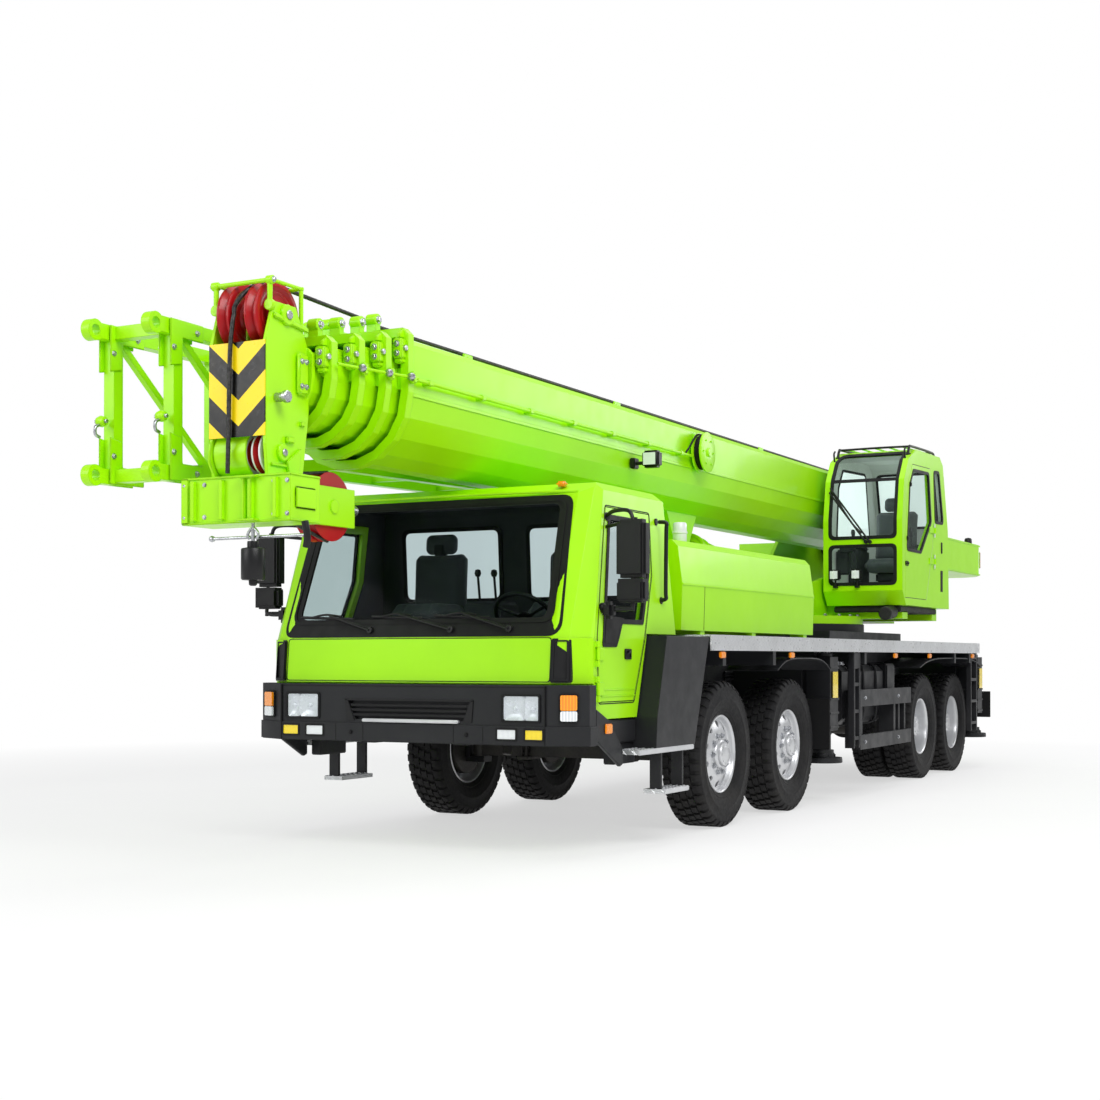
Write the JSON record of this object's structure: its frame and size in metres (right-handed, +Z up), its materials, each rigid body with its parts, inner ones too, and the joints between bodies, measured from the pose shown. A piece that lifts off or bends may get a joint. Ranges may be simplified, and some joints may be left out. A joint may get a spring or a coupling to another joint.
{
  "type": "mobile crane",
  "caption": "Truck-mounted telescopic crane, lime green: low front cab, slewing upper with operator cab, nested boom over the cab, lattice jib at its side, outriggers",
  "frame": {"origin": "middle of the bounding box in plan, on the ground under the tyres", "axes": "X forward along the boom, Y to the left of the crane, Z up"},
  "size_m": [12.55, 3, 3.345],
  "materials": {
    "green_paint": "gloss lime green paint",
    "dark_frame": "satin dark grey paint",
    "black_panel": "satin black paint",
    "aluminium": "chequered aluminium",
    "tyre": "black rubber",
    "rim": "polished wheel",
    "glass": "tinted glass",
    "lamp": "clear lamp lenses",
    "seat": "grey cloth",
    "red_sheave": "red paint",
    "steel": "machined steel",
    "chrome": "chromed rod"
  },
  "bodies": {
    "carrier": {"chassis_frame": "dark_frame", "axles": "dark_frame", "powertrain": "steel", "engine_hood": "green_paint", "deck_and_steps": "aluminium", "guards": "black_panel", "front_bumper": "dark_frame", "lamps": "lamp", "cab_shell": "green_paint", "cab_glass": "glass", "cab_interior": "seat"},
    "cab_door_left": {"cab_door_left": "green_paint"},
    "cab_door_right": {"cab_door_right": "green_paint"},
    "superstructure": {"turntable": "green_paint", "winches": "steel", "counterweight": "green_paint", "operator_cab": "green_paint", "operator_glass": "glass", "operator_seat": "seat"},
    "operator_door": {"operator_door": "green_paint"},
    "boom_base": {"boom_base": "green_paint", "jib": "green_paint"},
    "boom_section_2": {"boom_section_2": "green_paint"},
    "boom_section_3": {"boom_section_3": "green_paint"},
    "boom_section_4": {"boom_section_4": "green_paint"},
    "boom_tip": {"boom_tip": "green_paint", "head_sheaves": "red_sheave", "hook_block": "green_paint"},
    "luff_barrel": {"luff_barrel": "green_paint"},
    "luff_rod": {"luff_rod": "chrome"},
    "knuckle_1_left": {"knuckle_1_left": "dark_frame"},
    "wheel_1_left": {"tyre_1_left": "tyre", "rim_1_left": "rim"},
    "knuckle_1_right": {"knuckle_1_right": "dark_frame"},
    "wheel_1_right": {"tyre_1_right": "tyre", "rim_1_right": "rim"},
    "knuckle_2_left": {"knuckle_2_left": "dark_frame"},
    "wheel_2_left": {"tyre_2_left": "tyre", "rim_2_left": "rim"},
    "knuckle_2_right": {"knuckle_2_right": "dark_frame"},
    "wheel_2_right": {"tyre_2_right": "tyre", "rim_2_right": "rim"},
    "wheel_3_left": {"tyre_3_left": "tyre", "rim_3_left": "rim"},
    "wheel_3_right": {"tyre_3_right": "tyre", "rim_3_right": "rim"},
    "wheel_4_left": {"tyre_4_left": "tyre", "rim_4_left": "rim"},
    "wheel_4_right": {"tyre_4_right": "tyre", "rim_4_right": "rim"},
    "outrigger_beam_front_left": {"outrigger_beam_front_left": "dark_frame"},
    "outrigger_jack_front_left": {"outrigger_jack_front_left": "dark_frame"},
    "outrigger_beam_front_right": {"outrigger_beam_front_right": "dark_frame"},
    "outrigger_jack_front_right": {"outrigger_jack_front_right": "dark_frame"},
    "outrigger_beam_rear_left": {"outrigger_beam_rear_left": "dark_frame"},
    "outrigger_jack_rear_left": {"outrigger_jack_rear_left": "dark_frame"},
    "outrigger_beam_rear_right": {"outrigger_beam_rear_right": "dark_frame"},
    "outrigger_jack_rear_right": {"outrigger_jack_rear_right": "dark_frame"}
  },
  "joints": [
    {"name": "steer_1_left", "type": "hinge", "parent": "carrier", "child": "knuckle_1_left", "pos_m": [2.025, 0.86, 0.538], "axis": [0, 0, 1], "range_deg": [-34, 34]},
    {"name": "roll_1_left", "type": "hinge", "parent": "knuckle_1_left", "child": "wheel_1_left", "pos_m": [2.025, 1.08, 0.538], "axis": [0, 1, 0], "continuous": true},
    {"name": "steer_1_right", "type": "hinge", "parent": "carrier", "child": "knuckle_1_right", "pos_m": [2.025, -0.86, 0.538], "axis": [0, 0, 1], "range_deg": [-34, 34]},
    {"name": "roll_1_right", "type": "hinge", "parent": "knuckle_1_right", "child": "wheel_1_right", "pos_m": [2.025, -1.08, 0.538], "axis": [0, 1, 0], "continuous": true},
    {"name": "steer_2_left", "type": "hinge", "parent": "carrier", "child": "knuckle_2_left", "pos_m": [0.575, 0.86, 0.538], "axis": [0, 0, 1], "range_deg": [-23.8, 23.8]},
    {"name": "roll_2_left", "type": "hinge", "parent": "knuckle_2_left", "child": "wheel_2_left", "pos_m": [0.575, 1.08, 0.538], "axis": [0, 1, 0], "continuous": true},
    {"name": "steer_2_right", "type": "hinge", "parent": "carrier", "child": "knuckle_2_right", "pos_m": [0.575, -0.86, 0.538], "axis": [0, 0, 1], "range_deg": [-23.8, 23.8]},
    {"name": "roll_2_right", "type": "hinge", "parent": "knuckle_2_right", "child": "wheel_2_right", "pos_m": [0.575, -1.08, 0.538], "axis": [0, 1, 0], "continuous": true},
    {"name": "roll_3_left", "type": "hinge", "parent": "carrier", "child": "wheel_3_left", "pos_m": [-3.535, 0.885, 0.538], "axis": [0, 1, 0], "continuous": true},
    {"name": "roll_3_right", "type": "hinge", "parent": "carrier", "child": "wheel_3_right", "pos_m": [-3.535, -0.885, 0.538], "axis": [0, 1, 0], "continuous": true},
    {"name": "roll_4_left", "type": "hinge", "parent": "carrier", "child": "wheel_4_left", "pos_m": [-4.805, 0.885, 0.538], "axis": [0, 1, 0], "continuous": true},
    {"name": "roll_4_right", "type": "hinge", "parent": "carrier", "child": "wheel_4_right", "pos_m": [-4.805, -0.885, 0.538], "axis": [0, 1, 0], "continuous": true},
    {"name": "door_left", "type": "hinge", "parent": "carrier", "child": "cab_door_left", "pos_m": [4.16, 1.234, 1.16], "axis": [0, 0, -1], "range_deg": [0, 68]},
    {"name": "door_right", "type": "hinge", "parent": "carrier", "child": "cab_door_right", "pos_m": [4.16, -1.234, 1.16], "axis": [0, 0, 1], "range_deg": [0, 68]},
    {"name": "slew", "type": "hinge", "parent": "carrier", "child": "superstructure", "pos_m": [-2.575, 0, 1.58], "axis": [0, 0, 1], "continuous": true},
    {"name": "operator_door_hinge", "type": "hinge", "parent": "superstructure", "child": "operator_door", "pos_m": [-3.535, 1.319, 2.4], "axis": [0, 0, 1], "range_deg": [0, 95]},
    {"name": "luff", "type": "hinge", "parent": "superstructure", "child": "boom_base", "pos_m": [-4.475, 0, 2.85], "axis": [0, -1, 0], "range_deg": [0, 80]},
    {"name": "telescope_2", "type": "slide", "parent": "boom_base", "child": "boom_section_2", "axis": [1, 0, 0], "range_m": [0, 7.4]},
    {"name": "telescope_3", "type": "slide", "parent": "boom_section_2", "child": "boom_section_3", "axis": [1, 0, 0], "range_m": [0, 7.4]},
    {"name": "telescope_4", "type": "slide", "parent": "boom_section_3", "child": "boom_section_4", "axis": [1, 0, 0], "range_m": [0, 7.4]},
    {"name": "telescope_5", "type": "slide", "parent": "boom_section_4", "child": "boom_tip", "axis": [1, 0, 0], "range_m": [0, 7.4]},
    {"name": "luff_barrel_pivot", "type": "hinge", "parent": "superstructure", "child": "luff_barrel", "pos_m": [-3.175, 0, 1.84], "axis": [0, -1, 0], "range_deg": [0, 82.01]},
    {"name": "luff_rod_slide", "type": "slide", "parent": "luff_barrel", "child": "luff_rod", "axis": [0.9931, 0, 0.1172], "range_m": [0, 2.11088]},
    {"name": "outrigger_front_left", "type": "slide", "parent": "carrier", "child": "outrigger_beam_front_left", "axis": [0, 1, 0], "range_m": [0, 1.75]},
    {"name": "jack_front_left", "type": "slide", "parent": "outrigger_beam_front_left", "child": "outrigger_jack_front_left", "axis": [0, 0, -1], "range_m": [0, 0.55]},
    {"name": "outrigger_front_right", "type": "slide", "parent": "carrier", "child": "outrigger_beam_front_right", "axis": [0, -1, 0], "range_m": [0, 1.75]},
    {"name": "jack_front_right", "type": "slide", "parent": "outrigger_beam_front_right", "child": "outrigger_jack_front_right", "axis": [0, 0, -1], "range_m": [0, 0.55]},
    {"name": "outrigger_rear_left", "type": "slide", "parent": "carrier", "child": "outrigger_beam_rear_left", "axis": [0, 1, 0], "range_m": [0, 1.75]},
    {"name": "jack_rear_left", "type": "slide", "parent": "outrigger_beam_rear_left", "child": "outrigger_jack_rear_left", "axis": [0, 0, -1], "range_m": [0, 0.55]},
    {"name": "outrigger_rear_right", "type": "slide", "parent": "carrier", "child": "outrigger_beam_rear_right", "axis": [0, -1, 0], "range_m": [0, 1.75]},
    {"name": "jack_rear_right", "type": "slide", "parent": "outrigger_beam_rear_right", "child": "outrigger_jack_rear_right", "axis": [0, 0, -1], "range_m": [0, 0.55]}
  ],
  "couplings": [
    {"joint": "steer_1_right", "follows": "steer_1_left", "ratio": 1},
    {"joint": "steer_2_left", "follows": "steer_1_left", "ratio": 0.7},
    {"joint": "steer_2_right", "follows": "steer_1_left", "ratio": 0.7},
    {"joint": "telescope_4", "follows": "telescope_3", "ratio": 1},
    {"joint": "telescope_5", "follows": "telescope_3", "ratio": 1},
    {"joint": "luff_barrel_pivot", "follows": "luff", "ratio": 1.025},
    {"joint": "luff_rod_slide", "follows": "luff", "m_per_rad": 1.5114}
  ]
}
